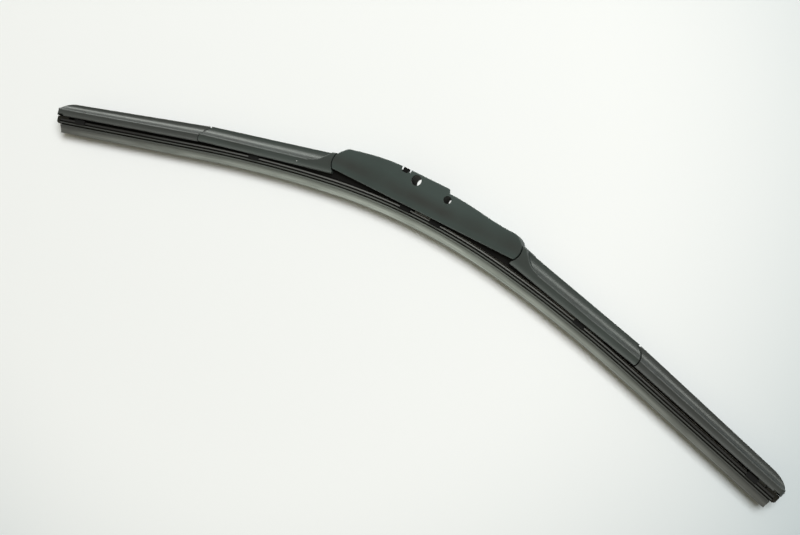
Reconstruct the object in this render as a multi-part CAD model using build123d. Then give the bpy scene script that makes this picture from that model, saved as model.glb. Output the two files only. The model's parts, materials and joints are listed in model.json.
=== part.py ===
from build123d import *
import os
from math import asin, atan2, cos, degrees, radians, sin, sqrt, tan

# A five-section wiper blade, lying on its back with its front side up.
# X runs along the blade, Y from the rubber lip to the fin, Z from back to front.
# Millimetres and degrees.

# Covers
WIDTH = 15.5                # back to front of the centre cover
FRONT_STEP = 0.4            # each next cover's front lies this much lower
WALL = 1.5                  # moulded wall
EDGE_ROUND = 0.5            # rounding of the covers' long edges
SEAM_GAP = 0.7              # gap in the round seams between covers

# Centre cover, measured from its straight bottom edge
PIVOT_X = 55.6              # bridge pivot, from the middle
PIVOT_Y = 5.5               # bridge pivot, above the bottom edge
END_RADIUS = 8.6            # round end about the pivot
PEAK_RISE = 3.6             # slanted corner above the left round end
PEAK_SLOPE = 12             # slope of the top edge at that corner
PEAK_ROUND = 6.0
TOP_HEIGHT = 20.4           # flat top at the arm window
TOP_START_X = -20.0         # left end of the flat top
STEP_X = 9.6                # step down on the right of the flat top
STEP_RUN = 1.2              # length of the step
STEP_ROUND = 0.7            # rounding of the step's two corners
BACK_STEP = 6.0             # behind the front wall the step comes this much earlier
BACK_STEP_DEPTH = 0.15      # and goes down this far below the shelf
SHELF_HEIGHT = 17.9         # top just right of the step
SKIRT_HEIGHT = 5.2          # open height under the round ends, for the levers
WINDOW_LEFT = -31.5         # opening in the roof for the wiper arm
WINDOW_RIGHT = 9.0

# Side-pin holes through both walls
LARGE_PIN = 6.35
LARGE_PIN_X = -11.0
LARGE_PIN_Y = 16.1
SMALL_PIN = 4.76
SMALL_PIN_X = 11.4
SMALL_PIN_Y = 13.9

# Notch in the top edge, and the latch tab in it
NOTCH_X = -19.6
NOTCH_LENGTH = 6.6
NOTCH_DEPTH = 2.0
BACK_NOTCH = 4.3            # the notch in the back wall lies further left by this
TAB_X = -20.0
TAB_LENGTH = 3.6
TAB_DROP = 3.0              # pocket for the tab in the front wall, below the flat top
TAB_RECESS = 1.2            # tab behind the front face
LATCH_WIDTH = 10.0
LATCH_LEAF = 1.2            # thickness of the latch's upper leaf
LATCH_DEPTH = 4.9           # lower side of the latch, below the flat top
LATCH_GRIP = 2.6            # how far the leaves reach over the lever's web

# Inner and outer covers
INNER_TURN = 12.3           # droop of an inner cover against the centre cover
OUTER_TURN = 2.7            # further droop of an outer cover
INNER_DROP = 7.1            # inner cover's bottom edge below the bridge pivot
INNER_LENGTH = 92.4         # bridge pivot to yoke pivot, along the inner cover
YOKE_PIVOT_UP = 2.6         # yoke pivot above the inner cover's bottom edge
OUTER_END_RADIUS = 6.6      # round end of the inner cover about the yoke pivot
SEAM_LAP = 1.2              # its back half reaches this far under the outer cover
LAP_HEIGHT = 10.9
LAP_FIT = 0.3
NOSE_OVERHANG = 2.4         # nose of an outer cover beyond the rubber's end
INNER_FIN = 12.7            # fin height above the bottom edge at the bridge
SEAM_FIN = 11.0             # at the seam between inner and outer cover
TIP_FIN = 9.0               # at the nose
INNER_SHOULDER = 5.8        # front wall height at the bridge
SEAM_SHOULDER = 5.2
TIP_SHOULDER = 4.6
SHOULDER_ROUND = 1.0
FIN_DEPTH = 3.4             # bottom of the scoop behind the front wall
FIN_THICKNESS = 1.4
FIN_LEAN = 1.2              # top part of the fin, which leans forward
BACK_HEIGHT = 4.4           # upright part of the back wall
BACK_RISE = 3.2             # foot of the fin's back above the front wall's top
BACK_LEAN = 1.2             # the fin's back leans over its own foot by this
HEAD_TOP = 10.0             # full-depth head of an inner cover, from the bridge pivot, at its top
HEAD_FOOT = 24.5            # the same at the shoulder
HEAD_SLOPE = 37             # slope of its edge at the top
HEAD_RAMP = 4.5             # run of its slope down to the scoop
HEAD_FLARE = 1.0            # rise of its top beside the centre cover
HEAD_START = 7.4            # its bottom edge, from the bridge pivot
FIN_END = 0.9               # end of the inner cover's fin, past the yoke pivot
FIN_NOTCH = 0.8             # notch between the two fins
HOLLOW_HEIGHT = 3.2         # hollow under an inner or outer cover
ROOM_FIT = 0.3              # room round a lever in its cover
NOSE_LENGTH = 13.0          # length over which the fin curves down to the nose
NOSE_DROP = 6.6
NOSE_ROUND = 1.3
NOSE_CORNER = 2.5           # rounding of the nose towards the front
NOSE_SLOT_LENGTH = 4.0
NOSE_SLOT_DEPTH = 1.1

# Levers: pressed channels, open towards the rubber
LEVER_FIT = 0.1             # side clearance between parts that do not turn
PRIMARY_STEEL = 1.0
PRIMARY_SKIRT = 3.2         # lower edge of the primary lever
PRIMARY_SADDLE = 11.0       # its sides under the arm window, below the side-pin holes
SECONDARY_WIDTH = 7.0
SECONDARY_STEEL = 0.8
YOKE_WIDTH = 4.4
YOKE_STEEL = 0.7
TURN_FIT = 0.1              # side clearance beside a turning lever
HUB_RADIUS = 3.2
ELBOW_X = 10.5              # elbow of the secondary lever, from the bridge pivot
ELBOW_UP = 2.4              # above the inner cover's bottom edge
ELBOW_RADIUS = 1.6
YOKE_HUB_RADIUS = 1.9
WEB_OPEN = 17.0             # web left out this far before the yoke pivot
PIVOT_PIN = 4.0
YOKE_PIN = 2.5
PIN_SEAT = 0.02             # radial clearance where a pin is fixed
PIN_RUN = 0.07              # radial clearance where a pin turns
PIVOT_LINER = 4.8           # radius over a liner's saddle
YOKE_LINER = 2.7
LINER_FIT = 0.4             # liner's saddle above the hub
LINER_HALF_ANGLE = 26

# Rubber and backing strips, heights above the lip edge
LIP_GAP = 9.8               # lip below the centre cover's bottom edge, in the middle
CENTRE_BEND = 395.0         # radius of the free curve under the bridge
CENTRE_RUN = 60.0           # half length of that stretch
INNER_BEND = 820.0          # radius under the inner covers
INNER_RUN = 90.0
RUBBER_HALF = 251.0         # half length of the rubber
LIP_HALF = 0.35
LIP_HEIGHT = 0.9
WEDGE_HEIGHT = 4.0
WEDGE_HALF = 2.3
SHOULDER_LOW = 4.35
SHOULDER_TOP = 5.1
SHOULDER_HALF = 2.9
NECK_HALF = 0.55
FLANGE_LOW = 5.95
FLANGE_TOP = 6.75
FLANGE_HALF = 4.2
HEAD_LOW = 7.5              # underside of the head, above the claws' groove
STRIP_LOW = 7.8             # slots for the backing strips
HEAD_WEB_HALF = 0.9
STRIP_THICKNESS = 0.65
STRIP_WIDTH = 3.2
STRIP_FIT = 0.04
RUBBER_HEIGHT = 8.9

# Claws round the rubber's head
CLAW_FIT = 0.12
CLAW_STEEL = 0.8
CLAW_LENGTH = 7.0
CLAW_REACH = 2.3            # lips of the claw into the rubber's groove
STEM_HEIGHT = 2.4           # lever above the claw
INNER_CLAW = 10.0           # stations along the rubber, from the middle
SEAM_CLAW = 112.0
TIP_CLAW_INSET = 15.0       # from the rubber's end
PLATE_GAP = 0.6             # levers' lower edges above the rubber's head
PLATE_DEPTH = 3.2           # the lowest part of a lever plate, above the head
SECONDARY_STOP = 104.0      # end of the secondary lever's low plates

# End clips
CLIP_WIDTH = 8.4
CLIP_GRIP = 6.0             # over the rubber's end
CLIP_LUG = 2.1              # thickness of the lug before the rubber's end
CLIP_ROUND = 1.9
CLIP_PLATE = 1.25           # thickness over the rubber's head
CLIP_LIP = 5.4              # lowest point of the lug above the lip edge

MID = WIDTH / 2
INNER_FRONT = WIDTH - FRONT_STEP
OUTER_FRONT = INNER_FRONT - FRONT_STEP
TIP_CLAW = RUBBER_HALF - TIP_CLAW_INSET
SHEAR = 80                  # cutting solids run this far past the part

INNER_FRAME = Pos(PIVOT_X, PIVOT_Y, 0) * Rot(0, 0, -INNER_TURN)
YOKE_PIVOT = Vector(INNER_LENGTH, YOKE_PIVOT_UP - INNER_DROP, 0)
OUTER_FRAME = INNER_FRAME * Pos(YOKE_PIVOT.X, YOKE_PIVOT.Y, 0) * Rot(0, 0, -OUTER_TURN)


def prism(face, z_low, z_high):
    """Solid of an XY face between two heights."""
    return extrude(Pos(0, 0, z_low) * face, amount=z_high - z_low, dir=(0, 0, 1))


def box(x0, x1, y0, y1, z0, z1):
    """Block between three pairs of limits."""
    return Pos((x0 + x1) / 2, (y0 + y1) / 2, (z0 + z1) / 2) * Box(x1 - x0, y1 - y0, z1 - z0)


def disc(x, y, radius):
    """Round face in XY."""
    return Pos(x, y, 0) * Circle(radius)


def rectangle(x0, x1, y0, y1):
    """Rectangular face in XY."""
    return Pos((x0 + x1) / 2, (y0 + y1) / 2, 0) * Rectangle(x1 - x0, y1 - y0)


def bore(x, y, diameter):
    """Cutter for a round hole through the full width."""
    return prism(disc(x, y, diameter / 2), -SHEAR, SHEAR)


def arm(*faces):
    """Lever arm: the hull round two or more faces."""
    return make_hull([edge for face in faces for edge in face.edges()])


def station(run):
    """Frame on the lip edge at a distance along the rubber: X along it, Y towards its head."""
    first = min(run, CENTRE_RUN)
    second = min(max(run - CENTRE_RUN, 0), INNER_RUN)
    third = max(run - CENTRE_RUN - INNER_RUN, 0)
    frame = Pos(0, -LIP_GAP, 0)
    for length, bend in ((first, CENTRE_BEND), (second, INNER_BEND)):
        turn = degrees(length / bend)
        frame = frame * Pos(0, -bend, 0) * Rot(0, 0, -turn) * Pos(0, bend, 0)
    return frame * Pos(third, 0, 0)


rubber_end = OUTER_FRAME.inverse() * station(RUBBER_HALF)
OUTER_LENGTH = rubber_end.position.X + NOSE_OVERHANG


def along_rubber(section):
    """Solid of a YZ section that follows the rubber's free curve, both halves."""
    middle = station(0) * section
    inner = station(CENTRE_RUN) * section
    outer = station(CENTRE_RUN + INNER_RUN) * section
    axis_middle = Axis((0, -LIP_GAP - CENTRE_BEND, 0), (0, 0, -1))
    centre_inner = (station(CENTRE_RUN) * Pos(0, -INNER_BEND, 0)).position
    axis_inner = Axis(centre_inner, (0, 0, -1))
    tip = station(RUBBER_HALF)
    half = revolve(middle, axis_middle, degrees(CENTRE_RUN / CENTRE_BEND))
    half += revolve(inner, axis_inner, degrees(INNER_RUN / INNER_BEND))
    straight = RUBBER_HALF - CENTRE_RUN - INNER_RUN
    half += extrude(outer, amount=straight, dir=tip.x_axis.direction)
    return half + mirror(half, about=Plane.YZ)


def centre_outline(inset=0):
    """Side view of the centre cover, without its notch, drawn in by an inset above its bottom edge."""
    radius = END_RADIUS - inset
    foot = PIVOT_X + sqrt(radius**2 - PIVOT_Y**2)
    slant = radius * sin(radians(45))
    left_top = (-PIVOT_X - slant, PIVOT_Y + slant)
    rise = PEAK_RISE - inset * tan(radians((45 - PEAK_SLOPE) / 2)) * cos(radians(45))
    peak = (left_top[0] + rise, left_top[1] + rise)
    peak_direction = (cos(radians(PEAK_SLOPE)), sin(radians(PEAK_SLOPE)))
    top_start = (TOP_START_X, TOP_HEIGHT - inset)
    step = (STEP_X - inset, TOP_HEIGHT - inset)
    shelf = (STEP_X + STEP_RUN - inset, SHELF_HEIGHT - inset)
    crown = (PIVOT_X, PIVOT_Y + radius)
    outline = Line((-foot, 0), (foot, 0))
    outline += ThreePointArc((foot, 0), (PIVOT_X + radius, PIVOT_Y), crown)
    outline += Spline([shelf, crown], tangents=[(1, 0), (1, 0)])
    outline += Polyline(shelf, step, top_start)
    outline += Spline([peak, top_start], tangents=[peak_direction, (1, 0)])
    outline += Line(peak, left_top)
    outline += ThreePointArc(left_top, (-PIVOT_X - radius, PIVOT_Y), (-foot, 0))
    face = make_face(outline)
    corner = face.vertices().sort_by_distance(peak)[0]
    return fillet(corner, PEAK_ROUND - inset)


def centre_cover():
    """Moulded bridge cover: two walls, a roof with the arm window, round ends."""
    outline = centre_outline()
    body = prism(outline, 0, WIDTH)
    step = [edge for edge in body.edges().filter_by(Axis.Z)
            if abs(edge.center().X - STEP_X - STEP_RUN / 2) < STEP_RUN]
    body = fillet(step, STEP_ROUND)
    body = fillet(body.edges().filter_by(Axis.Z, reverse=True), EDGE_ROUND)
    hollow = centre_outline(WALL)
    reach = PIVOT_X + 2 * END_RADIUS
    hollow += rectangle(-reach, reach, -WALL, SKIRT_HEIGHT)
    body -= prism(hollow, WALL, WIDTH - WALL)
    body -= box(WINDOW_LEFT, WINDOW_RIGHT, PIVOT_Y, TOP_HEIGHT + WALL, WALL, WIDTH - WALL)
    body -= bore(LARGE_PIN_X, LARGE_PIN_Y, LARGE_PIN)
    body -= bore(SMALL_PIN_X, SMALL_PIN_Y, SMALL_PIN)
    above = TOP_HEIGHT + WALL
    step_foot = STEP_X + STEP_RUN + STEP_ROUND
    body -= box(STEP_X - BACK_STEP, step_foot, SHELF_HEIGHT - BACK_STEP_DEPTH, above, -WALL, WIDTH - WALL)
    left = NOTCH_X - NOTCH_LENGTH / 2
    right = NOTCH_X + NOTCH_LENGTH / 2
    floor = TOP_HEIGHT - NOTCH_DEPTH
    body -= box(left - BACK_NOTCH, right - BACK_NOTCH, floor, above, -WALL, MID)
    body -= box(left, right, floor, above, MID, WIDTH + WALL)
    half = TAB_LENGTH / 2 + LEVER_FIT
    return body - box(TAB_X - half, TAB_X + half, TOP_HEIGHT - TAB_DROP, above, MID, WIDTH + WALL)


def lever_channel(profile, width, steel):
    """Pressed channel: two side plates of the profile and a web along its upper edge."""
    web = profile - Pos(0, -steel, 0) * profile
    channel = prism(web, MID - width / 2, MID + width / 2)
    channel += prism(profile, MID - width / 2, MID - width / 2 + steel)
    return channel + prism(profile, MID + width / 2 - steel, MID + width / 2)


def primary_lever():
    """Pressed bridge lever that fills the centre cover's hollow."""
    inset = WALL + LEVER_FIT
    profile = centre_outline(inset)
    reach = PIVOT_X + END_RADIUS
    low = rectangle(-reach, reach, -inset, PRIMARY_SKIRT)
    for side in (-1, 1):
        low -= disc(side * PIVOT_X, PIVOT_Y, HUB_RADIUS)
    profile -= low
    lever = lever_channel(profile, WIDTH - 2 * inset, PRIMARY_STEEL)
    for side in (-1, 1):
        lever -= bore(side * PIVOT_X, PIVOT_Y, PIVOT_PIN + 2 * PIN_SEAT)
    web_end = WINDOW_LEFT + LATCH_GRIP
    return lever - box(web_end, SMALL_PIN_X + SMALL_PIN, PRIMARY_SADDLE, TOP_HEIGHT, 0, WIDTH)


def claw_section():
    """YZ section of a claw round the rubber's head, heights above the lip edge."""
    inside = FLANGE_HALF + CLAW_FIT
    outside = inside + CLAW_STEEL
    roof = RUBBER_HEIGHT + CLAW_FIT
    lip_top = HEAD_LOW - CLAW_FIT
    lip_low = FLANGE_TOP + CLAW_FIT
    half = Polyline((roof + CLAW_STEEL, 0), (roof + CLAW_STEEL, outside), (lip_low, outside),
                    (lip_low, inside - CLAW_REACH), (lip_top, inside - CLAW_REACH),
                    (lip_top, inside), (roof, inside), (roof, 0), close=True)
    face = Plane.YZ * make_face(half)
    return Pos(0, 0, MID) * (face + mirror(face, about=Plane.XY))


def claw(run):
    """Claw at a distance along the rubber."""
    section = Pos(-CLAW_LENGTH / 2, 0, 0) * claw_section()
    return station(run) * extrude(section, amount=CLAW_LENGTH, dir=(1, 0, 0))


def stem(run):
    """Face of the lever just above a claw."""
    foot = RUBBER_HEIGHT + CLAW_FIT + CLAW_STEEL / 2
    half = CLAW_LENGTH / 2
    return station(run) * rectangle(-half, half, foot, foot + STEM_HEIGHT)


def low_plate(run):
    """Face of the lowest part of a lever plate, just above the rubber's head."""
    half = CLAW_LENGTH / 2
    return station(run) * rectangle(-half, half, RUBBER_HEIGHT + PLATE_GAP, RUBBER_HEIGHT + PLATE_DEPTH)


def secondary_lever():
    """Right secondary lever: claw under the bridge, hub on the pivot, arm to the yoke."""
    hub = disc(PIVOT_X, PIVOT_Y, HUB_RADIUS)
    elbow = INNER_FRAME * disc(ELBOW_X, ELBOW_UP - INNER_DROP, ELBOW_RADIUS)
    eye = INNER_FRAME * disc(YOKE_PIVOT.X, YOKE_PIVOT.Y, YOKE_HUB_RADIUS)
    before = low_plate((INNER_CLAW + PIVOT_X) / 2)
    below = low_plate(PIVOT_X)
    beyond = low_plate((PIVOT_X + SECONDARY_STOP) / 2)
    last = low_plate(SECONDARY_STOP)
    profile = arm(stem(INNER_CLAW), before, hub) + arm(before, below, hub) + arm(hub, below, elbow)
    profile += arm(below, beyond) + arm(beyond, last) + arm(elbow, eye)
    lever = lever_channel(profile, SECONDARY_WIDTH, SECONDARY_STEEL)
    inside = SECONDARY_WIDTH / 2 - SECONDARY_STEEL
    tall = INNER_DROP
    lever -= INNER_FRAME * box(YOKE_PIVOT.X - WEB_OPEN, YOKE_PIVOT.X + tall, -2 * tall, tall,
                               MID - inside, MID + inside)
    lever += claw(INNER_CLAW)
    lever -= bore(PIVOT_X, PIVOT_Y, PIVOT_PIN + 2 * PIN_RUN)
    return lever - INNER_FRAME * bore(YOKE_PIVOT.X, YOKE_PIVOT.Y, YOKE_PIN + 2 * PIN_SEAT)


def yoke():
    """Right yoke: hub on the yoke pivot and a claw at each end."""
    hub = OUTER_FRAME * disc(0, 0, YOKE_HUB_RADIUS)
    below = low_plate(CENTRE_RUN + INNER_RUN)
    profile = arm(stem(SEAM_CLAW), below, hub) + arm(hub, below, stem(TIP_CLAW))
    lever = lever_channel(profile, YOKE_WIDTH, YOKE_STEEL)
    lever += claw(SEAM_CLAW) + claw(TIP_CLAW)
    return lever - OUTER_FRAME * bore(0, 0, YOKE_PIN + 2 * PIN_RUN)


def pivot_rivet():
    """Right bridge rivet, flush in the primary lever's sides."""
    inset = WALL + LEVER_FIT
    return prism(disc(PIVOT_X, PIVOT_Y, PIVOT_PIN / 2), inset, WIDTH - inset)


def yoke_rivet():
    """Right yoke rivet, flush in the secondary lever's sides."""
    half = SECONDARY_WIDTH / 2
    return OUTER_FRAME * prism(disc(0, 0, YOKE_PIN / 2), MID - half, MID + half)


def liner(pin, hub, rim, inside, outside):
    """Liner about a pivot: a washer on each side of a hub, joined by a saddle above it."""
    spread = rim * tan(radians(LINER_HALF_ANGLE))
    sector = make_face(Polyline((0, 0), (spread, rim), (-spread, rim), close=True))
    ear = sector & Circle(rim)
    washer = Circle(hub) + ear - Circle(pin / 2 + PIN_SEAT)
    saddle = ear - Circle(hub + LINER_FIT)
    body = prism(saddle, MID - outside, MID + outside)
    body += prism(washer, MID - outside, MID - inside)
    return body + prism(washer, MID + inside, MID + outside)


def pivot_liner():
    """Right bridge liner, between the primary lever and the secondary lever's hub."""
    outside = MID - WALL - LEVER_FIT - PRIMARY_STEEL - TURN_FIT
    inside = SECONDARY_WIDTH / 2 + TURN_FIT
    return Pos(PIVOT_X, PIVOT_Y, 0) * liner(PIVOT_PIN, HUB_RADIUS, PIVOT_LINER, inside, outside)


def yoke_liner():
    """Right yoke liner, between the secondary lever's sides and the yoke's hub."""
    outside = SECONDARY_WIDTH / 2 - SECONDARY_STEEL
    inside = YOKE_WIDTH / 2 + TURN_FIT
    place = INNER_FRAME * Pos(YOKE_PIVOT.X, YOKE_PIVOT.Y, 0)
    return place * liner(YOKE_PIN, YOKE_HUB_RADIUS, YOKE_LINER, inside, outside)


def arm_latch():
    """Latch clip: two leaves over the end of the lever's web, and a tab in the notch."""
    back = WINDOW_LEFT + LEVER_FIT
    web_end = WINDOW_LEFT + LATCH_GRIP + LEVER_FIT
    neck = web_end + LATCH_LEAF
    tab_left = TAB_X - TAB_LENGTH / 2
    tab_right = TAB_X + TAB_LENGTH / 2
    low = TOP_HEIGHT - LATCH_DEPTH
    under_roof = centre_outline(WALL)
    under_web = centre_outline(WALL + PRIMARY_STEEL + 2 * LEVER_FIT)
    leaves = centre_outline(WALL - LATCH_LEAF) & rectangle(back, neck, low, TOP_HEIGHT)
    leaves -= (under_roof - under_web) & rectangle(back, web_end, low, TOP_HEIGHT)
    leaves += under_web & rectangle(back, tab_right, low, TOP_HEIGHT)
    front = MID + LATCH_WIDTH / 2
    clip = prism(leaves, MID - LATCH_WIDTH / 2, front)
    floor = TOP_HEIGHT - TAB_DROP + LEVER_FIT
    return clip + box(tab_left, tab_right, floor, TOP_HEIGHT, front - LATCH_LEAF, WIDTH - TAB_RECESS)


def cover_section(fin, shoulder, front):
    """YZ section of a spoiler cover, heights above its bottom edge."""
    fin_front = front - FIN_DEPTH
    scoop_low = fin - FIN_LEAN
    face_low = front - EDGE_ROUND
    face_high = shoulder - SHOULDER_ROUND
    swing = 2 * atan2(FIN_DEPTH, scoop_low - face_high)
    scoop = (scoop_low - face_high) / sin(swing) - SHOULDER_ROUND
    swing = degrees(swing)
    lean = degrees(asin(FIN_LEAN / scoop))
    outline = Line((BACK_HEIGHT, 0), (EDGE_ROUND, 0))
    outline += CenterArc((EDGE_ROUND, EDGE_ROUND), EDGE_ROUND, 180, 90)
    outline += Line((0, EDGE_ROUND), (0, face_low))
    outline += CenterArc((EDGE_ROUND, face_low), EDGE_ROUND, 90, 90)
    outline += Line((EDGE_ROUND, front), (face_high, front))
    outline += CenterArc((face_high, front - SHOULDER_ROUND), SHOULDER_ROUND, 90 - swing, swing)
    hollow = CenterArc((scoop_low, fin_front + scoop), scoop, 270 - swing, swing + lean)
    fin_back = fin_front - FIN_THICKNESS
    outline += hollow
    outline += Polyline(hollow @ 1, (fin, fin_back), (shoulder + BACK_RISE, fin_back - BACK_LEAN),
                        (BACK_HEIGHT, 0))
    return Plane.YZ * make_face(outline)


def spoiler(front, x0, fin0, shoulder0, x1, fin1, shoulder1):
    """Spoiler body along X between two sections."""
    first = Pos(x0, 0, 0) * cover_section(fin0, shoulder0, front)
    last = Pos(x1, 0, 0) * cover_section(fin1, shoulder1, front)
    return loft([first.face(), last.face()], ruled=True)


def lever_room(*arms):
    """Face of the room that a lever's arms need in a cover, open towards the rubber."""
    down = Pos(0, -INNER_DROP, 0)
    return Sketch() + [arm(*[place * face for face in faces for place in (Pos(), down)]) for faces in arms]


def inner_head():
    """Full-depth head of the inner cover, with a slope down to the scoop."""
    low = -INNER_DROP
    shoulder = INNER_SHOULDER + low
    top = INNER_FIN + low

    def side_view(run):
        crest = (HEAD_TOP + run, top)
        foot = (HEAD_FOOT + run, shoulder)
        outline = Polyline(crest, (0, top + HEAD_FLARE), (0, low), (HEAD_FOOT + run, low), foot)
        slope = (cos(radians(HEAD_SLOPE)), -sin(radians(HEAD_SLOPE)))
        outline += Spline([crest, foot], tangents=[slope, (1, 0)])
        return make_face(outline)

    head = loft([side_view(HEAD_RAMP).face(), Pos(0, 0, INNER_FRONT) * side_view(0).face()], ruled=True)
    return fillet(head.faces().sort_by(Axis.Z)[-1].edges(), EDGE_ROUND)


def inner_outline(lap=0):
    """Side view of the inner cover; its round end and the lower part of its fin are longer by a lap."""
    low = -INNER_DROP
    high = INNER_FIN + HEAD_FLARE + low
    radius = OUTER_END_RADIUS + lap
    far = YOKE_PIVOT.X + radius
    fin_end = YOKE_PIVOT.X + FIN_END
    round_end = disc(YOKE_PIVOT.X, YOKE_PIVOT.Y, radius)
    outline = rectangle(0, fin_end, low, high)
    outline += rectangle(YOKE_PIVOT.X, fin_end + lap, low, low + SEAM_FIN - FIN_NOTCH)
    outline += rectangle(YOKE_PIVOT.X, far, low, high) & round_end
    outline -= rectangle(YOKE_PIVOT.X, far, low, YOKE_PIVOT.Y) - round_end
    outline -= disc(0, 0, END_RADIUS + SEAM_GAP)
    return outline - rectangle(0, HEAD_START, low, 0)


def inner_cover():
    """Right inner cover: spoiler with a full-depth head beside the centre cover."""
    low = -INNER_DROP
    far = YOKE_PIVOT.X + OUTER_END_RADIUS + SEAM_LAP
    body = spoiler(INNER_FRONT, 0, INNER_FIN, INNER_SHOULDER, far, SEAM_FIN, SEAM_SHOULDER)
    body = Pos(0, low, 0) * body + inner_head()
    keep = prism(inner_outline(), 0, INNER_FRONT)
    keep += prism(inner_outline(SEAM_LAP), 0, LAP_HEIGHT)
    body = body & keep
    body -= box(HEAD_FOOT, far + WALL, low - WALL, low + HOLLOW_HEIGHT, WALL, INNER_FRONT - WALL)
    hub = disc(0, 0, HUB_RADIUS + ROOM_FIT)
    elbow = disc(ELBOW_X, ELBOW_UP + low, ELBOW_RADIUS + ROOM_FIT)
    eye = disc(YOKE_PIVOT.X, YOKE_PIVOT.Y, YOKE_HUB_RADIUS + ROOM_FIT)
    past = disc(far, YOKE_PIVOT.Y, YOKE_HUB_RADIUS + ROOM_FIT)
    room = lever_room((hub, elbow), (elbow, eye), (eye, past))
    half = SECONDARY_WIDTH / 2 + LEVER_FIT
    body -= prism(room, MID - half, MID + half)
    half -= SECONDARY_STEEL
    liner_room = disc(YOKE_PIVOT.X, YOKE_PIVOT.Y, YOKE_LINER + ROOM_FIT)
    return INNER_FRAME * (body - prism(liner_room, MID - half, MID + half))


def outer_outline(lap=0):
    """Side view of the outer cover from the round seam, shorter by a lap, to the nose."""
    low = -YOKE_PIVOT_UP
    high = SEAM_FIN + low
    tip = TIP_FIN + low
    bend = OUTER_LENGTH - NOSE_LENGTH
    brow = tip - NOSE_DROP
    start = FIN_END + FIN_NOTCH + lap
    outline = Polyline((bend, tip), (start, high), (start, low), (OUTER_LENGTH - NOSE_ROUND, low))
    outline += RadiusArc((OUTER_LENGTH - NOSE_ROUND, low), (OUTER_LENGTH, low + NOSE_ROUND), -NOSE_ROUND)
    outline += Line((OUTER_LENGTH, low + NOSE_ROUND), (OUTER_LENGTH, brow))
    outline += EllipticalCenterArc((bend, brow), NOSE_LENGTH, NOSE_DROP, 0, arc_size=90)
    return make_face(outline) - disc(0, 0, OUTER_END_RADIUS + lap + SEAM_GAP)


def outer_cover():
    """Right outer cover: spoiler that ends in a rounded nose."""
    low = -YOKE_PIVOT_UP
    body = spoiler(OUTER_FRONT, 0, SEAM_FIN, SEAM_SHOULDER, OUTER_LENGTH, TIP_FIN, TIP_SHOULDER)
    over_lap = LAP_HEIGHT + LAP_FIT
    keep = prism(outer_outline(SEAM_LAP), 0, over_lap)
    keep += prism(outer_outline(), over_lap, OUTER_FRONT)
    body = Pos(0, low, 0) * body & keep
    turn_x = OUTER_LENGTH - NOSE_CORNER
    turn_z = OUTER_FRONT - NOSE_CORNER
    corner = box(turn_x, OUTER_LENGTH + WALL, -SHEAR, SHEAR, turn_z, WIDTH)
    corner -= Pos(turn_x, 0, turn_z) * Rot(90, 0, 0) * Cylinder(NOSE_CORNER, 3 * SHEAR)
    body -= corner
    slot = OUTER_LENGTH - NOSE_ROUND - NOSE_SLOT_LENGTH
    body -= box(0, slot - WALL, low - WALL, low + HOLLOW_HEIGHT, WALL, OUTER_FRONT - WALL)
    body -= box(slot, slot + NOSE_SLOT_LENGTH, low - WALL, low + NOSE_SLOT_DEPTH, -WALL, WIDTH + WALL)
    hub = disc(0, 0, YOKE_HUB_RADIUS + ROOM_FIT)
    room = lever_room((hub, OUTER_FRAME.inverse() * stem(TIP_CLAW)))
    half = YOKE_WIDTH / 2 + LEVER_FIT
    body -= prism(room, MID - half, MID + half)
    clip_top = RUBBER_HEIGHT + CLAW_FIT + CLIP_PLATE + ROOM_FIT
    clip_room = rectangle(-CLIP_GRIP - ROOM_FIT, CLAW_FIT + CLIP_LUG + ROOM_FIT, CLIP_LIP, clip_top)
    half = CLIP_WIDTH / 2 + ROOM_FIT
    return OUTER_FRAME * body - station(RUBBER_HALF) * prism(clip_room, MID - half, MID + half)


def end_clip():
    """Right end clip: a plate over the rubber's head with a rounded lug before its end."""
    seat = RUBBER_HEIGHT + CLAW_FIT
    top = seat + CLIP_PLATE
    point = (CLAW_FIT + CLIP_LUG, CLIP_LIP)
    profile = make_face(Polyline((-CLIP_GRIP, seat), (CLAW_FIT, seat), (CLAW_FIT, CLIP_LIP), point,
                                 (CLAW_FIT + CLIP_LUG, top), (-CLIP_GRIP, top), close=True))
    profile = fillet(profile.vertices().sort_by_distance(point)[0], CLIP_ROUND)
    return station(RUBBER_HALF) * prism(profile, MID - CLIP_WIDTH / 2, MID + CLIP_WIDTH / 2)


def rubber_section():
    """YZ section of the rubber: lip, wedge, shoulder, neck, flange, groove and slotted head."""
    slot_top = STRIP_LOW + STRIP_THICKNESS + 2 * STRIP_FIT
    half = Polyline((0, 0), (0, LIP_HALF), (LIP_HEIGHT, LIP_HALF), (WEDGE_HEIGHT, WEDGE_HALF),
                    (SHOULDER_LOW, SHOULDER_HALF), (SHOULDER_TOP, SHOULDER_HALF), (SHOULDER_TOP, NECK_HALF),
                    (FLANGE_LOW, NECK_HALF), (FLANGE_LOW, FLANGE_HALF), (FLANGE_TOP, FLANGE_HALF),
                    (FLANGE_TOP, HEAD_WEB_HALF), (HEAD_LOW, HEAD_WEB_HALF), (HEAD_LOW, FLANGE_HALF),
                    (STRIP_LOW, FLANGE_HALF), (STRIP_LOW, HEAD_WEB_HALF), (slot_top, HEAD_WEB_HALF),
                    (slot_top, FLANGE_HALF), (RUBBER_HEIGHT, FLANGE_HALF), (RUBBER_HEIGHT, 0), close=True)
    face = Plane.YZ * make_face(half)
    return Pos(0, 0, MID) * (face + mirror(face, about=Plane.XY))


def strip_section(side):
    """YZ section of a backing strip in the rubber's slot; side is 1 at the front, -1 at the back."""
    low = STRIP_LOW + STRIP_FIT
    near = HEAD_WEB_HALF + STRIP_FIT
    corners = [(low, near), (low, near + STRIP_WIDTH)]
    corners += [(low + STRIP_THICKNESS, near + STRIP_WIDTH), (low + STRIP_THICKNESS, near)]
    face = make_face(Polyline(*[(y, side * z) for y, z in corners], close=True))
    return Pos(0, 0, MID) * (Plane.YZ * face)


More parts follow.
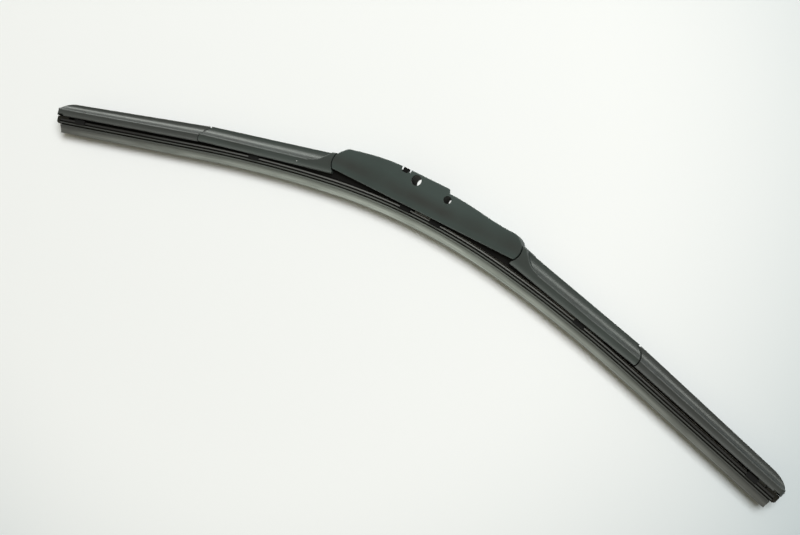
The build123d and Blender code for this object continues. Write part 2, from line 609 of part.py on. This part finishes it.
nodes = {
    "centre_cover": centre_cover(),
    "primary_lever": primary_lever(),
    "arm_latch": arm_latch(),
    "blade_rubber": along_rubber(rubber_section()),
    "front_strip": along_rubber(strip_section(1)),
    "rear_strip": along_rubber(strip_section(-1)),
}
right_side = {
    "pivot_rivet": pivot_rivet(),
    "pivot_liner": pivot_liner(),
    "secondary_lever": secondary_lever(),
    "inner_cover": inner_cover(),
    "yoke_rivet": yoke_rivet(),
    "yoke_liner": yoke_liner(),
    "yoke": yoke(),
    "outer_cover": outer_cover(),
    "end_clip": end_clip(),
}
for name, shape in right_side.items():
    nodes["right_" + name] = shape
    nodes["left_" + name] = mirror(shape, about=Plane.YZ)

whole = Compound([solid for shape in nodes.values() for solid in shape.solids()]).bounding_box()
to_origin = Pos(-whole.center().X, -whole.center().Y, -whole.min.Z)

os.makedirs("parts", exist_ok=True)
for name, shape in nodes.items():
    export_step(to_origin * shape, "parts/" + name + ".step")
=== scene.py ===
import bpy
import bmesh
import json
from collections import namedtuple
from math import cos, hypot, radians, sin, tan
from mathutils import Matrix, Vector


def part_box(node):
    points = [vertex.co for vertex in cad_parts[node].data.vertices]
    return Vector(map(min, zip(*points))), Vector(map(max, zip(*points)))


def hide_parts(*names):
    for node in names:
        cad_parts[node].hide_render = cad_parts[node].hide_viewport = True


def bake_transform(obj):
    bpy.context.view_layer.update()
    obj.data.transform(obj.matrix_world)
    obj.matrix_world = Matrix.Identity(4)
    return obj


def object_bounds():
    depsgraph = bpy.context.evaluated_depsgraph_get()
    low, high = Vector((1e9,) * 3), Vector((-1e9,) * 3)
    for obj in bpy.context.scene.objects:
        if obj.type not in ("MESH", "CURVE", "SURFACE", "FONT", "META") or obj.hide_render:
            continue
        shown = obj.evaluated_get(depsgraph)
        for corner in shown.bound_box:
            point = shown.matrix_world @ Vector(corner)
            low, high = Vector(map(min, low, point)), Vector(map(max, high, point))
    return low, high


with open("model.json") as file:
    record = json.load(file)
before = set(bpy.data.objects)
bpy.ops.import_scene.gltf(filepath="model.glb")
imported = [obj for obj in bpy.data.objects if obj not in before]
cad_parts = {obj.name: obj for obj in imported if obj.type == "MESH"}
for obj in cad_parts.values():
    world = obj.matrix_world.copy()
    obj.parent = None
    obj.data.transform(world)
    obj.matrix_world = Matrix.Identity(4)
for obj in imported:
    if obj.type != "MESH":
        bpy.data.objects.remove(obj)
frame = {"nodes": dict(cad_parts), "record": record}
cad_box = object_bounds()
nodes = frame["nodes"]
joints = {joint["name"]: joint["pos_m"] for joint in frame["record"]["behaviour"]["joints"]}
bottom_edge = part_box("centre_cover")[0][1]
middle_depth = (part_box("centre_cover")[0][2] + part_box("centre_cover")[1][2]) / 2

MM = 0.001
SIDES = (("left", -1), ("right", 1))

# Pin holes through the centre cover: place of the axis, and radius
pin_holes = [(mount["pos_m"], mount["dims"]["r_mm"] * MM) for mount in frame["record"]["mounts"]]

# Covers: droop in degrees, bottom edge below the pivot that it turns on, crowns of the wall, and colour.
# A crown has the heights in mm where it is steepest and where it ends, and its steepest tilt in degrees.
Cover = namedtuple("Cover", "turn drop crowns tone")
CENTRE_COVER = Cover(0, 0, ((0, 3, 12), (20, 8, 4)), (0.029, 0.0435, 0.0412))
INNER_COVER = Cover(12.3, 7.1 * MM, ((0, 4.6, 24),), (0.0315, 0.0425, 0.0402))
OUTER_COVER = Cover(15.0, 2.6 * MM, ((0, 4.6, 24),), (0.0345, 0.0395, 0.039))

# Cover plastic: paler clouds, a band of painted shade between two heights, painted shade in the bores and on
# the back wall, dust, and edges.
# LEVEL and UPRIGHT say how far a surface looks up, and upright walls are rougher.
CLOUD_LIFT = 1.2
# Band of painted shade: the walls are darker between these heights, broken up by noise
SHADE_BAND_LOW = (1.5 * MM, 5 * MM)
SHADE_BAND_HIGH = (13 * MM, 7 * MM)
SHADE_BAND_STRENGTH = 1.3
SHADE_BAND_BLACK = (0.0235, 0.028, 0.027)
# Painted shade in the bores of the pin holes: how far beyond the radius it reaches, and its black
BORE_EDGE = (0.02 * MM, 0.1 * MM)
BORE_SHADE_BLACK = (0.008, 0.008, 0.008)
# Painted shade on the inside of the back wall: heights of the low level faces, and their black
BACK_WALL = (3 * MM, 2 * MM)
BACK_WALL_SHADE = (0.01, 0.0105, 0.01)
SPECK_PLACE = (-0.0849, 0.01365, 0)
SPECK_EDGE = (0.22 * MM, 0.35 * MM)
DUST_WHITE = (0.75, 0.75, 0.72)
EDGE_RADIUS = 0.22 * MM
LEVEL = (0.5, 0.7)
UPRIGHT = (0.1, 0.45)
UPRIGHT_ROUGHNESS = 0.4

# Levers and small pieces: two colours of each finish, and the brightness of the claws' sides
PAINT_BLACKS = ((0.006, 0.006, 0.006), (0.01, 0.0095, 0.009))
LEVER_CLAWS = 0.008
YOKE_CLAWS = 0.012
CLAW_FACE = 4.25 * MM
LATCH_BLACKS = ((0.006, 0.006, 0.006), (0.009, 0.009, 0.009))
LINER_BLACKS = ((0.015, 0.015, 0.015), (0.02, 0.02, 0.02))
RIVET_GREYS = ((0.3, 0.3, 0.3), (0.42, 0.42, 0.41))
CLIP_GREYS = ((0.06, 0.06, 0.06), (0.1, 0.1, 0.1))

# Rubber: its free curve under the bridge and the inner covers, then straight to the ends
LIP_GAP = 9.8 * MM
CENTRE_BEND = 395 * MM
CENTRE_RUN = 60 * MM
INNER_BEND = 820 * MM
INNER_RUN = 90 * MM
RUBBER_HALF = 251 * MM
INNER_CLAW = 10 * MM
SEAM_CLAW = 112 * MM
RUBBER_STEP = 2 * MM
FEWEST_STEPS = 12

# Rubber section, half of it, in mm: height above the lip edge, distance from the middle plane
RUBBER_SECTION = (
    (0.0, 0.0), (0.0, 0.33), (0.85, 0.35), (1.0, 0.42), (3.95, 2.28), (4.3, 2.8), (4.42, 2.9),
    (5.0, 2.9), (5.1, 2.8), (5.1, 0.55), (5.95, 0.55), (5.95, 4.1), (6.05, 4.2), (6.65, 4.2), (6.75, 4.1),
    (6.75, 0.9), (7.5, 0.9), (7.5, 4.14), (7.56, 4.2), (7.74, 4.2), (7.8, 4.14), (7.8, 0.9), (8.53, 0.9),
    (8.53, 4.14), (8.59, 4.2), (8.82, 4.2), (8.9, 4.12), (8.9, 0.0),
)

# Rubber finish: the run over which painted sheen fades from the middle to the ends, the bloom's range of
# noise, and heights where the colour changes: a painted highlight on the flank, and painted shade on the
# neck, flange and head
PAINTED_SHEEN_RUN = (30 * MM, 240 * MM)
BLOOM_MIX = (0.32, 0.68)
# Painted highlight: a pale stripe on the wedge's flank between these heights
PAINTED_HIGHLIGHT_LOW = (0.2 * MM, 1.3 * MM)
PAINTED_HIGHLIGHT_HIGH = (3.4 * MM, 2.0 * MM)
# Painted shade on the upper wedge and neck, from these heights
NECK_SHADE_RISE = (3.3 * MM, 4.4 * MM)
FLANGE_RISE = (5.2 * MM, 5.6 * MM)
HEAD_RISE = (7 * MM, 7.2 * MM)

# Rubber colours: the bloom mixes the first two pairs, in the middle of the blade and at its ends; the middle
# pair is lighter by painted sheen. The next two pairs run from the middle to the ends: a painted highlight,
# and the flange's black with painted shade. The neck and head blacks are painted shade.
PAINTED_SHEEN_GREYS = ((0.17, 0.19, 0.168), (0.27, 0.295, 0.265))
END_BLACKS = ((0.05, 0.052, 0.049), (0.085, 0.088, 0.082))
PAINTED_HIGHLIGHT_GREYS = ((0.58, 0.63, 0.58), (0.18, 0.184, 0.172))
FLANGE_SHADE_BLACKS = ((0.09, 0.096, 0.089), (0.045, 0.047, 0.044))
NECK_SHADE_BLACK = (0.04, 0.042, 0.039)
NECK_SHADE_STRENGTH = 0.5
HEAD_SHADE_BLACK = (0.02, 0.02, 0.019)

# Backing strips: section, the run over which painted shade darkens them to the ends, and colours
STRIP_LOW = 7.84 * MM
STRIP_THICKNESS = 0.65 * MM
STRIP_NEAR = 0.94 * MM
STRIP_WIDTH = 3.2 * MM
STRIP_SHADE_RUN = (110 * MM, 190 * MM)
STRIP_GREYS = ((0.14, 0.143, 0.14), (0.27, 0.276, 0.268))
STRIP_SHADE_BLACK = (0.04, 0.04, 0.04)

# Ranges of a noise that are stretched to the whole change of a colour or a roughness
WIDE = (0.3, 0.7)
NARROW = (0.35, 0.65)

# Table: size, the middle of its painted pool of light, the distances over which painted shade greys it,
# colours, and painted light under the pin holes
TABLE_SIZE = 8
TABLE_MIDDLE = (-0.115, 0.02, 0)
TABLE_GREYS_OVER = (0.2, 0.4)
TABLE_WHITE = (0.9, 0.915, 0.92)
TABLE_GREY = (0.487, 0.551, 0.58)
# Painted light: colour and edge of the glowing discs under the pin holes
PAINTED_HOLE_LIGHT = (0.9, 0.917, 0.89)
HOLE_SOFTNESS = 0.1 * MM

# Light: place and size in metres, power in watts
ROOM_COLOUR = (1.0, 0.92, 0.7)
ROOM_STRENGTH = 0.215
KEY = ("key", (0.96, 1.82, 3.84), (2.4, 2.4), 196)
KEY_COLOUR = (0.98, 1.0, 1.0)
SOFTBOXES = (
    ("left_window", (-1.5, 1.35, 0.95), (1.2, 0.8), 22),
    ("right_window", (0.42, 1.6, 1.3), (0.8, 0.8), 11),
    ("lip_side", (-0.25, -1.2, 1.2), (1.2, 0.3), 4.5),
)
SOFTBOX_COLOUR = (0.96, 1.0, 0.94)

# View of the photograph: place in metres, turn in degrees, lens and sensor in mm
CAMERA_PLACE = (0.17260, 0.00756, 0.64458)
CAMERA_TURN = (5.187, 14.203, 27.942)
CAMERA_LENS = 49.5
CAMERA_SENSOR = 36


class Socket:
    """An output of a shader node that can be used in sums."""

    def __init__(self, output):
        self.output = output

    def maths(self, operation, first, second):
        shader = Shader(self.output.id_data)
        return shader.node("ShaderNodeMath", {"operation": operation}, {0: first, 1: second})

    def __add__(self, other):
        return self.maths("ADD", self, other)

    def __radd__(self, other):
        return self.maths("ADD", other, self)

    def __sub__(self, other):
        return self.maths("SUBTRACT", self, other)

    def __rsub__(self, other):
        return self.maths("SUBTRACT", other, self)

    def __mul__(self, other):
        return self.maths("MULTIPLY", self, other)

    def __rmul__(self, other):
        return self.maths("MULTIPLY", other, self)

    def __abs__(self):
        return self.maths("ABSOLUTE", self, 0.0)


class Shader:
    """A node tree in which any node is made by one call."""

    def __init__(self, tree):
        self.tree = tree

    def node(self, kind, settings=None, inputs=None, output=0):
        made = self.tree.nodes.new(kind)
        for name, value in (settings or {}).items():
            setattr(made, name, value)
        for name, value in (inputs or {}).items():
            if isinstance(value, Socket):
                self.tree.links.new(value.output, made.inputs[name])
            else:
                made.inputs[name].default_value = value
        return Socket(made.outputs[output]) if made.outputs else None

    def scaled(self, vector, scale):
        return self.node("ShaderNodeVectorMath", {"operation": "MULTIPLY"}, {0: vector, 1: scale})

    def place(self):
        return self.node("ShaderNodeTexCoord", output="Object")

    def plan(self):
        """Place seen from above, without its height."""
        return self.scaled(self.place(), (1, 1, 0))

    def along(self, run, across):
        """Place on a swept piece: along it and round its section, at two scales."""
        return self.scaled(self.node("ShaderNodeTexCoord", output="UV"), (run, across, 1))

    def axis(self, name, vector=None):
        return self.node("ShaderNodeSeparateXYZ", {}, {0: vector or self.place()}, name)

    def up(self):
        """How far a surface looks up: 1 on a level one, 0 on a wall."""
        return self.axis("Z", self.node("ShaderNodeNewGeometry", output="Normal"))

    def noise(self, scale, detail=2.0, vector=None):
        return self.node("ShaderNodeTexNoise", {}, {"Vector": vector or self.place(), "Scale": scale,
                                                    "Detail": detail})

    def distance(self, point, vector=None):
        return self.node("ShaderNodeVectorMath", {"operation": "DISTANCE"},
                         {0: vector or self.place(), 1: point}, "Value")

    def blend(self, factor, first, second):
        """Mix of two colours, each a socket or its red, green and blue."""
        first, second = [part if isinstance(part, Socket) else (*part, 1) for part in (first, second)]
        return self.node("ShaderNodeMix", {"data_type": "RGBA"}, {0: factor, 6: first, 7: second}, 2)

    def band(self, value, low, high, to_low=0.0, to_high=1.0):
        return self.node("ShaderNodeMapRange", {}, {"Value": value, "From Min": low, "From Max": high,
                                                    "To Min": to_low, "To Max": to_high})

    def bump(self, height, distance, strength=1.0, normal=None):
        inputs = {"Height": height, "Distance": distance, "Strength": strength}
        if normal:
            inputs["Normal"] = normal
        return self.node("ShaderNodeBump", {}, inputs)


def new_material(name):
    """An empty material and its shader."""
    material = bpy.data.materials.new(name)
    material.use_nodes = True
    material.node_tree.nodes.clear()
    return material, Shader(material.node_tree)


def finish_material(shader, inputs):
    """Ends a material in one principled surface."""
    surface = shader.node("ShaderNodeBsdfPrincipled", {}, inputs)
    shader.node("ShaderNodeOutputMaterial", {}, {"Surface": surface})


def cover_height(shader, cover, sign, pivot):
    """Height above a cover's bottom edge; the cover droops about its pivot."""
    x = shader.axis("X") - pivot[0]
    y = shader.axis("Y") - pivot[1]
    return x * (sign * sin(radians(cover.turn))) + y * cos(radians(cover.turn)) + cover.drop


def cover_colour(shader, cover, height, cloud):
    """Black with paler clouds, a band of painted shade between two heights, painted shade in the bores and
    on the back wall, and one speck of dust.
    """
    paler = [CLOUD_LIFT * part for part in cover.tone]
    colour = shader.blend(shader.band(cloud, *NARROW), cover.tone, paler)
    # Painted shade: a darker band across the wall between two heights
    painted_shade_band = shader.band(height, *SHADE_BAND_LOW) * shader.band(height, *SHADE_BAND_HIGH) * shader.noise(60, 2.0)
    colour = shader.blend(SHADE_BAND_STRENGTH * painted_shade_band, colour, SHADE_BAND_BLACK)
    plan = shader.plan()
    # Painted shade: the bores of the pin holes are painted black
    for (x, y, _), radius in pin_holes:
        low, high = [radius + beyond for beyond in BORE_EDGE]
        bore_shade = shader.band(shader.distance((x, y, 0), plan), low, high, 1, 0)
        colour = shader.blend(bore_shade, colour, BORE_SHADE_BLACK)
    speck = shader.band(shader.distance(SPECK_PLACE, plan), *SPECK_EDGE, 1, 0)
    colour = shader.blend(speck, colour, DUST_WHITE)
    # Painted shade: low level faces on the back wall's inside are painted black
    back = shader.band(shader.up(), *LEVEL) * shader.band(shader.axis("Z"), *BACK_WALL)
    return shader.blend(back, colour, BACK_WALL_SHADE)


def cover_normal(shader, cover, height, grain):
    """Soft edges, spark-eroded grain and slightly crowned walls."""
    normal = shader.node("ShaderNodeBevel", {"samples": 6}, {"Radius": EDGE_RADIUS})
    normal = shader.bump(grain, 0.012 * MM, 0.5, normal)
    for steepest, end, tilt in cover.crowns:
        rise = shader.band(height, end * MM, steepest * MM)
        depth = tan(radians(tilt)) * abs(end - steepest) * MM / 2
        normal = shader.bump(-1 * (rise * rise), depth, 1.0, normal)
    return normal


def cover_plastic(name, cover, sign, pivot):
    """Satin moulded plastic of one cover, rougher on its upright walls."""
    material, shader = new_material(name)
    height = cover_height(shader, cover, sign, pivot)
    grain = shader.noise(5200, 1.0)
    cloud = shader.noise(26, 3.0)
    walls = shader.band(shader.up(), *UPRIGHT, UPRIGHT_ROUGHNESS, 0)
    finish_material(shader, {"Base Color": cover_colour(shader, cover, height, cloud),
                             "Roughness": shader.band(cloud, *WIDE, 0.34, 0.39) + 0.05 * grain + walls,
                             "Specular IOR Level": 0.9,
                             "Normal": cover_normal(shader, cover, height, grain)})
    return material


def black_plastic(name, blacks, rough):
    """Plain black moulding for the small pieces."""
    material, shader = new_material(name)
    grain = shader.noise(4200, 2.0)
    finish_material(shader, {"Base Color": shader.blend(shader.band(grain, *NARROW), *blacks),
                             "Roughness": shader.band(grain, *WIDE, rough - 0.05, rough),
                             "Specular IOR Level": 0.08,
                             "Normal": shader.bump(grain, 0.015 * MM, 0.5)})
    return material


def lever_paint(name, claws):
    """Dull black paint on pressed steel, slightly uneven; claws is the brightness of the claws' sides."""
    material, shader = new_material(name)
    flow = shader.noise(900, 2.0)
    cloud = shader.noise(60, 2.0)
    colour = shader.blend(shader.band(cloud, *NARROW), *PAINT_BLACKS)
    side = shader.band(abs(shader.axis("Z") - middle_depth), CLAW_FACE, CLAW_FACE + 0.1 * MM)
    finish_material(shader, {"Base Color": shader.blend(side, colour, (claws, claws, claws)),
                             "Roughness": shader.band(flow, *WIDE, 0.6, 0.75),
                             "Specular IOR Level": 0.12,
                             "Normal": shader.bump(flow, 0.02 * MM, 0.4)})
    return material


def plain_steel(name, greys):
    """Plain steel of the rivets and end clips."""
    material, shader = new_material(name)
    marks = shader.noise(2500, 2.0)
    finish_material(shader, {"Base Color": shader.blend(shader.band(marks, *WIDE), *greys),
                             "Metallic": 1.0,
                             "Roughness": shader.band(marks, *WIDE, 0.36, 0.48)})
    return material


def strip_steel():
    """Dark rolled strip steel with lines along its length, and painted shade that darkens it at the ends."""
    material, shader = new_material("strip_steel")
    lines = shader.noise(1, 3.0, shader.along(8, 3000))
    # Painted shade: the strips darken to black towards the ends of the blade
    ends = shader.band(abs(shader.axis("X")), *STRIP_SHADE_RUN)
    colour = shader.blend(shader.band(lines, *WIDE), *STRIP_GREYS)
    finish_material(shader, {"Base Color": shader.blend(ends, colour, STRIP_SHADE_BLACK),
                             "Metallic": 0.3,
                             "Roughness": shader.band(lines, *WIDE, 0.4, 0.52)})
    return material


def coated_rubber():
    """Extruded rubber with a graphite coat: fine lines along it and a grey bloom, lighter at the middle of
    the blade by painted sheen that fades to the ends, a painted highlight on the wedge's flank, and painted
    shade on its neck, flange and head.
    """
    material, shader = new_material("coated_rubber")
    lines = shader.noise(1, 3.0, shader.along(25, 5200))
    bloom = shader.noise(1, 3.0, shader.along(40, 300))
    # Painted sheen: the rubber is lighter at the middle of the blade and darker towards its ends
    ends = shader.band(abs(shader.axis("X")), *PAINTED_SHEEN_RUN)
    mix = shader.band(0.5 * bloom + 0.5 * lines, *BLOOM_MIX)
    rise = shader.node("ShaderNodeAttribute", {"attribute_name": "rise"}, {}, "Fac")
    colour = shader.blend(ends, shader.blend(mix, *PAINTED_SHEEN_GREYS), shader.blend(mix, *END_BLACKS))
    # Painted highlight on the wedge's flank, paler at the middle of the blade
    painted_highlight = shader.band(rise, *PAINTED_HIGHLIGHT_HIGH) * shader.band(rise, *PAINTED_HIGHLIGHT_LOW) * mix
    colour = shader.blend(painted_highlight, colour, shader.blend(ends, *PAINTED_HIGHLIGHT_GREYS))
    # Painted shade on the upper wedge and neck
    colour = shader.blend(NECK_SHADE_STRENGTH * shader.band(rise, *NECK_SHADE_RISE), colour, NECK_SHADE_BLACK)
    # The flange's black rubber with painted shade, darker towards the ends
    colour = shader.blend(shader.band(rise, *FLANGE_RISE), colour, shader.blend(ends, *FLANGE_SHADE_BLACKS))
    # Painted shade on the head, inside the covers
    colour = shader.blend(shader.band(rise, *HEAD_RISE), colour, HEAD_SHADE_BLACK)
    finish_material(shader, {"Base Color": colour,
                             "Roughness": shader.band(lines, *WIDE, 0.48, 0.6),
                             "Normal": shader.bump(lines, 0.02 * MM, 0.5)})
    return material


def dress(name, material):
    """Gives a node its finish."""
    nodes[name].data.materials.clear()
    nodes[name].data.materials.append(material)


def dress_nodes():
    """Finishes of the covers, levers and small pieces."""
    lever = lever_paint("lever_paint", LEVER_CLAWS)
    rivet = plain_steel("rivet_steel", RIVET_GREYS)
    liner = black_plastic("liner_plastic", LINER_BLACKS, 0.5)
    on_each_side = {
        "secondary_lever": lever, "yoke": lever_paint("yoke_paint", YOKE_CLAWS),
        "pivot_rivet": rivet, "yoke_rivet": rivet, "pivot_liner": liner, "yoke_liner": liner,
        "end_clip": plain_steel("clip_steel", CLIP_GREYS),
    }
    dress("centre_cover", cover_plastic("centre_plastic", CENTRE_COVER, 1, (0, bottom_edge)))
    dress("primary_lever", lever)
    dress("arm_latch", black_plastic("latch_plastic", LATCH_BLACKS, 0.6))
    for side, sign in SIDES:
        for piece, material in on_each_side.items():
            dress(side + "_" + piece, material)
        for place, cover, pivot in (("_inner", INNER_COVER, "_bridge_pivot"),
                                    ("_outer", OUTER_COVER, "_yoke_pivot")):
            plastic = cover_plastic(side + place + "_plastic", cover, sign, joints[side + pivot])
            dress(side + place + "_cover", plastic)


def station(run):
    """Frame on the lip edge at a signed distance along the rubber: X along it, Y towards its head."""
    side = -1 if run < 0 else 1
    length = abs(run)
    place = Matrix.Translation((0, bottom_edge - LIP_GAP, middle_depth))
    first = min(length, CENTRE_RUN)
    second = min(max(length - CENTRE_RUN, 0), INNER_RUN)
    for part, bend in ((first, CENTRE_BEND), (second, INNER_BEND)):
        turn = Matrix.Rotation(-side * part / bend, 4, "Z")
        place = place @ Matrix.Translation((0, -bend, 0)) @ turn @ Matrix.Translation((0, bend, 0))
    return place @ Matrix.Translation((side * max(length - CENTRE_RUN - INNER_RUN, 0), 0, 0))


def along_rubber(name, section, start, end):
    """Mesh of a closed section, (height, depth) points in metres, swept along the rubber."""
    mesh = bmesh.new()
    chart = mesh.loops.layers.uv.new("run_and_round")
    rise = mesh.verts.layers.float.new("rise")
    count = max(FEWEST_STEPS, round(abs(end - start) / RUBBER_STEP))
    runs = [start + (end - start) * i / count for i in range(count + 1)]
    around = [0.0]
    for (y0, z0), (y1, z1) in zip(section, section[1:] + section[:1]):
        around.append(around[-1] + hypot(y1 - y0, z1 - z0))
    rings = [[mesh.verts.new(station(run) @ Vector((0, y, z))) for y, z in section] for run in runs]
    for ring in rings:
        for corner, (y, _) in zip(ring, section):
            corner[rise] = y
    for i in range(count):
        for a in range(len(section)):
            b = (a + 1) % len(section)
            face = mesh.faces.new((rings[i][a], rings[i][b], rings[i + 1][b], rings[i + 1][a]))
            corners = ((i, a), (i, a + 1), (i + 1, a + 1), (i + 1, a))
            for corner, (ring, point) in zip(face.loops, corners):
                corner[chart].uv = (runs[ring], around[point])
    mesh.faces.new(rings[0])
    mesh.faces.new(rings[-1])
    bmesh.ops.recalc_face_normals(mesh, faces=mesh.faces)
    data = bpy.data.meshes.new(name)
    mesh.to_mesh(data)
    mesh.free()
    piece = bpy.data.objects.new(name, data)
    bpy.context.collection.objects.link(piece)
    return piece


def full_section(half):
    """Both halves of a symmetric section, in metres."""
    front = [(y * MM, z * MM) for y, z in half]
    return front + [(y, -z) for y, z in reversed(front[1:-1])]


def strip_section(side):
    """Backing strip in the rubber's slot, in front of the middle plane or behind it."""
    near = side * STRIP_NEAR
    far = side * (STRIP_NEAR + STRIP_WIDTH)
    high = STRIP_LOW + STRIP_THICKNESS
    return [(STRIP_LOW, near), (STRIP_LOW, far), (high, far), (high, near)]


def swept_piece(name, section, material, node, side, sign):
    """Half of the rubber or of a strip, in two lengths: from the middle to the inner claw, and from there to
    the end.
    """
    inner = side + "_inner"
    lengths = (("_middle", "bridge", inner, 0, INNER_CLAW, INNER_CLAW),
               ("_arm", inner, side + "_outer", INNER_CLAW, SEAM_CLAW, RUBBER_HALF))
    for label, first, second, start, turned, end in lengths:
        piece = along_rubber(name + label, section, sign * start, sign * end)
        piece.data.materials.append(material)
        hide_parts(node)
        station(sign * start).translation
        station(sign * turned).translation
        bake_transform(piece)


def rubber_and_strips():
    """Rubber and strips, swept along the rubber's curve."""
    rubber = coated_rubber()
    steel = strip_steel()
    rubber_section = full_section(RUBBER_SECTION)
    for side, sign in SIDES:
        swept_piece(side + "_rubber", rubber_section, rubber, "blade_rubber", side, sign)
        for strip, front in (("front_strip", 1), ("rear_strip", -1)):
            swept_piece(side + "_" + strip, strip_section(front), steel, strip, side, sign)


def table():
    """White table top, greyed by painted shade away from a painted pool of light, with painted light glowing
    on discs under the pin holes.
    """
    material, shader = new_material("table_white")
    # Painted shade: the table greys with distance from a painted pool of light
    away = shader.band(shader.distance(TABLE_MIDDLE), *TABLE_GREYS_OVER)
    colour = shader.blend(away * away, TABLE_WHITE, TABLE_GREY)
    surface = shader.node("ShaderNodeBsdfPrincipled", {}, {"Base Color": colour, "Roughness": 0.6})
    # Painted light: discs under the pin holes glow for camera, glossy and transmission rays
    glow = shader.node("ShaderNodeEmission", {}, {"Color": (*PAINTED_HOLE_LIGHT, 1)})
    painted_hole_light = 0.0
    for (x, y, _), radius in pin_holes:
        painted_hole_light = painted_hole_light + shader.band(shader.distance((x, y, 0)), radius - HOLE_SOFTNESS, radius, 1, 0)
    seen = 0.0
    for ray in ("Is Camera Ray", "Is Glossy Ray", "Is Transmission Ray"):
        seen = seen + shader.node("ShaderNodeLightPath", output=ray)
    surface = shader.node("ShaderNodeMixShader", {}, {0: seen * painted_hole_light, 1: surface, 2: glow})
    shader.node("ShaderNodeOutputMaterial", {}, {"Surface": surface})
    bpy.ops.mesh.primitive_plane_add(size=TABLE_SIZE, location=(0, 0, cad_box[0][2]))
    top = bpy.context.object
    top.name = "table_top"
    top.data.materials.append(material)


def lamp(name, place, size, power, colour):
    """Softbox aimed at the blade."""
    data = bpy.data.lights.new(name, "AREA")
    data.shape = "RECTANGLE"
    data.size, data.size_y = size
    data.energy = power
    data.color = colour
    light = bpy.data.objects.new(name, data)
    light.location = place
    light.rotation_euler = (-Vector(place)).to_track_quat("-Z", "Y").to_euler()
    bpy.context.collection.objects.link(light)
    return light


def lights():
    """A bright room: a key that isn't mirrored in the blade, and low softboxes that only are."""
    world = bpy.data.worlds.new("room")
    world.use_nodes = True
    background = world.node_tree.nodes["Background"]
    background.inputs["Color"].default_value = (*ROOM_COLOUR, 1)
    background.inputs["Strength"].default_value = ROOM_STRENGTH
    bpy.context.scene.world = world
    lamp(*KEY, KEY_COLOUR).visible_glossy = False
    for softbox in SOFTBOXES:
        lamp(*softbox, SOFTBOX_COLOUR).visible_diffuse = False


def camera():
    """The photograph's view."""
    data = bpy.data.cameras.new("view")
    data.lens = CAMERA_LENS
    data.sensor_width = CAMERA_SENSOR
    view = bpy.data.objects.new("view", data)
    view.location = CAMERA_PLACE
    view.rotation_euler = [radians(turn) for turn in CAMERA_TURN]
    bpy.context.collection.objects.link(view)
    bpy.context.scene.camera = view


dress_nodes()
rubber_and_strips()
table()
lights()
camera()
bpy.context.scene.view_settings.view_transform = "Standard"
